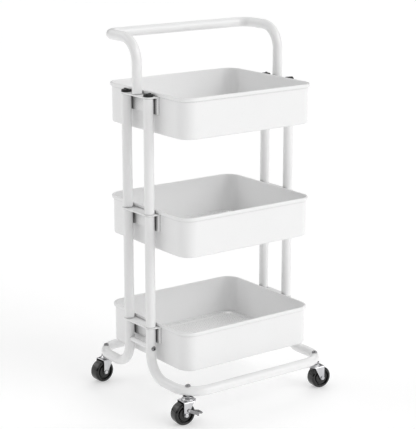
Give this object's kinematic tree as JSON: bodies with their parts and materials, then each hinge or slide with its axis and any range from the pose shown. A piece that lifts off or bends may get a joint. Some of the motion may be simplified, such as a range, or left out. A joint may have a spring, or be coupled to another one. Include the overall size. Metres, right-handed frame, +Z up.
{
  "type": "rolling utility cart",
  "caption": "Rolling utility cart: open metal baskets on a bent-tube frame with swivel casters, pedal brakes, clamp knobs and a set-back hand rail.",
  "frame": {"origin": "on the floor, under the middle of the cart's overall box", "axes": "+Z up; X along the length of the cart; +Y toward the back, where the hand rail stands"},
  "size_m": [0.4346, 0.3888, 0.826],
  "materials": {
    "white_powder_coat": "smooth glossy white powder coat",
    "bright_zinc_steel": "bright zinc-plated pressed steel",
    "dark_plated_steel": "dark nickel-plated steel",
    "black_wheel_rubber": "satin black moulded wheel",
    "black_knob_plastic": "fine-grained black plastic"
  },
  "bodies": {
    "cart_frame": {"base_tube_front": "white_powder_coat", "base_tube_rear": "white_powder_coat", "cross_bar_left": "white_powder_coat", "cross_bar_right": "white_powder_coat", "cross_bar_screw_front_left": "dark_plated_steel", "cross_bar_screw_rear_left": "dark_plated_steel", "cross_bar_screw_front_right": "dark_plated_steel", "cross_bar_screw_rear_right": "dark_plated_steel", "basket_bottom": "white_powder_coat", "bracket_bottom_left": "white_powder_coat", "bracket_bottom_right": "white_powder_coat", "basket_middle": "white_powder_coat", "bracket_middle_left": "white_powder_coat", "bracket_middle_right": "white_powder_coat", "basket_top": "white_powder_coat", "bracket_top_left": "white_powder_coat", "bracket_top_right": "white_powder_coat", "middle_post_front_left": "white_powder_coat", "middle_post_rear_left": "white_powder_coat", "middle_post_front_right": "white_powder_coat", "middle_post_rear_right": "white_powder_coat", "upper_post_front_left": "white_powder_coat", "upper_post_rear_left": "white_powder_coat", "upper_post_front_right": "white_powder_coat", "upper_post_rear_right": "white_powder_coat", "handle_tube": "white_powder_coat", "handle_screw_left": "dark_plated_steel", "handle_screw_right": "dark_plated_steel", "caster_front_left_stem": "bright_zinc_steel", "caster_front_left_nut": "dark_plated_steel", "caster_rear_left_stem": "bright_zinc_steel", "caster_rear_left_nut": "dark_plated_steel", "caster_front_right_stem": "bright_zinc_steel", "caster_front_right_nut": "dark_plated_steel", "caster_rear_right_stem": "bright_zinc_steel", "caster_rear_right_nut": "dark_plated_steel"},
    "caster_front_left_swivel": {"caster_front_left_race": "bright_zinc_steel", "caster_front_left_fork": "bright_zinc_steel", "caster_front_left_axle": "bright_zinc_steel"},
    "caster_front_left_wheel": {"caster_front_left_wheel": "black_wheel_rubber"},
    "caster_front_left_brake": {"caster_front_left_brake_lever": "dark_plated_steel"},
    "clamp_knob_front_left": {"clamp_knob_front_left": "black_knob_plastic"},
    "caster_rear_left_swivel": {"caster_rear_left_race": "bright_zinc_steel", "caster_rear_left_fork": "bright_zinc_steel", "caster_rear_left_axle": "bright_zinc_steel"},
    "caster_rear_left_wheel": {"caster_rear_left_wheel": "black_wheel_rubber"},
    "clamp_knob_rear_left": {"clamp_knob_rear_left": "black_knob_plastic"},
    "caster_front_right_swivel": {"caster_front_right_race": "bright_zinc_steel", "caster_front_right_fork": "bright_zinc_steel", "caster_front_right_axle": "bright_zinc_steel"},
    "caster_front_right_wheel": {"caster_front_right_wheel": "black_wheel_rubber"},
    "clamp_knob_front_right": {"clamp_knob_front_right": "black_knob_plastic"},
    "caster_rear_right_swivel": {"caster_rear_right_race": "bright_zinc_steel", "caster_rear_right_fork": "bright_zinc_steel", "caster_rear_right_axle": "bright_zinc_steel"},
    "caster_rear_right_wheel": {"caster_rear_right_wheel": "black_wheel_rubber"},
    "caster_rear_right_brake": {"caster_rear_right_brake_lever": "dark_plated_steel"},
    "clamp_knob_rear_right": {"clamp_knob_rear_right": "black_knob_plastic"}
  },
  "joints": [
    {"name": "caster_front_left_swivel_turn", "type": "hinge", "parent": "cart_frame", "child": "caster_front_left_swivel", "pos_m": [-0.1785, -0.1635, 0.055], "axis": [0, 0, 1], "continuous": true},
    {"name": "caster_front_left_wheel_spin", "type": "hinge", "parent": "caster_front_left_swivel", "child": "caster_front_left_wheel", "pos_m": [-0.19143, -0.16214, 0.025], "axis": [-0.1045, -0.9945, 0], "continuous": true},
    {"name": "caster_front_left_brake_press", "type": "hinge", "parent": "caster_front_left_swivel", "child": "caster_front_left_brake", "pos_m": [-0.18496, -0.16282, 0.034], "axis": [0.1045, 0.9945, 0], "range_deg": [0, 8]},
    {"name": "clamp_knob_front_left_turn", "type": "hinge", "parent": "cart_frame", "child": "clamp_knob_front_left", "pos_m": [-0.1916, -0.042, 0.6983], "axis": [0, 0, 1], "range_deg": [0, 360]},
    {"name": "caster_rear_left_swivel_turn", "type": "hinge", "parent": "cart_frame", "child": "caster_rear_left_swivel", "pos_m": [-0.1785, 0.1635, 0.055], "axis": [0, 0, 1], "continuous": true},
    {"name": "caster_rear_left_wheel_spin", "type": "hinge", "parent": "caster_rear_left_swivel", "child": "caster_rear_left_wheel", "pos_m": [-0.19147, 0.16259, 0.025], "axis": [0.0698, -0.9976, 0], "continuous": true},
    {"name": "clamp_knob_rear_left_turn", "type": "hinge", "parent": "cart_frame", "child": "clamp_knob_rear_left", "pos_m": [-0.1916, 0.042, 0.6983], "axis": [0, 0, 1], "range_deg": [0, 360]},
    {"name": "caster_front_right_swivel_turn", "type": "hinge", "parent": "cart_frame", "child": "caster_front_right_swivel", "pos_m": [0.1785, -0.1635, 0.055], "axis": [0, 0, 1], "continuous": true},
    {"name": "caster_front_right_wheel_spin", "type": "hinge", "parent": "caster_front_right_swivel", "child": "caster_front_right_wheel", "pos_m": [0.19143, -0.16486, 0.025], "axis": [0.1045, 0.9945, 0], "continuous": true},
    {"name": "clamp_knob_front_right_turn", "type": "hinge", "parent": "cart_frame", "child": "clamp_knob_front_right", "pos_m": [0.1916, -0.042, 0.6983], "axis": [0, 0, 1], "range_deg": [0, 360]},
    {"name": "caster_rear_right_swivel_turn", "type": "hinge", "parent": "cart_frame", "child": "caster_rear_right_swivel", "pos_m": [0.1785, 0.1635, 0.055], "axis": [0, 0, 1], "continuous": true},
    {"name": "caster_rear_right_wheel_spin", "type": "hinge", "parent": "caster_rear_right_swivel", "child": "caster_rear_right_wheel", "pos_m": [0.19143, 0.16486, 0.025], "axis": [-0.1045, 0.9945, 0], "continuous": true},
    {"name": "caster_rear_right_brake_press", "type": "hinge", "parent": "caster_rear_right_swivel", "child": "caster_rear_right_brake", "pos_m": [0.18496, 0.16418, 0.034], "axis": [0.1045, -0.9945, 0], "range_deg": [0, 8]},
    {"name": "clamp_knob_rear_right_turn", "type": "hinge", "parent": "cart_frame", "child": "clamp_knob_rear_right", "pos_m": [0.1916, 0.042, 0.6983], "axis": [0, 0, 1], "range_deg": [0, 360]}
  ]
}
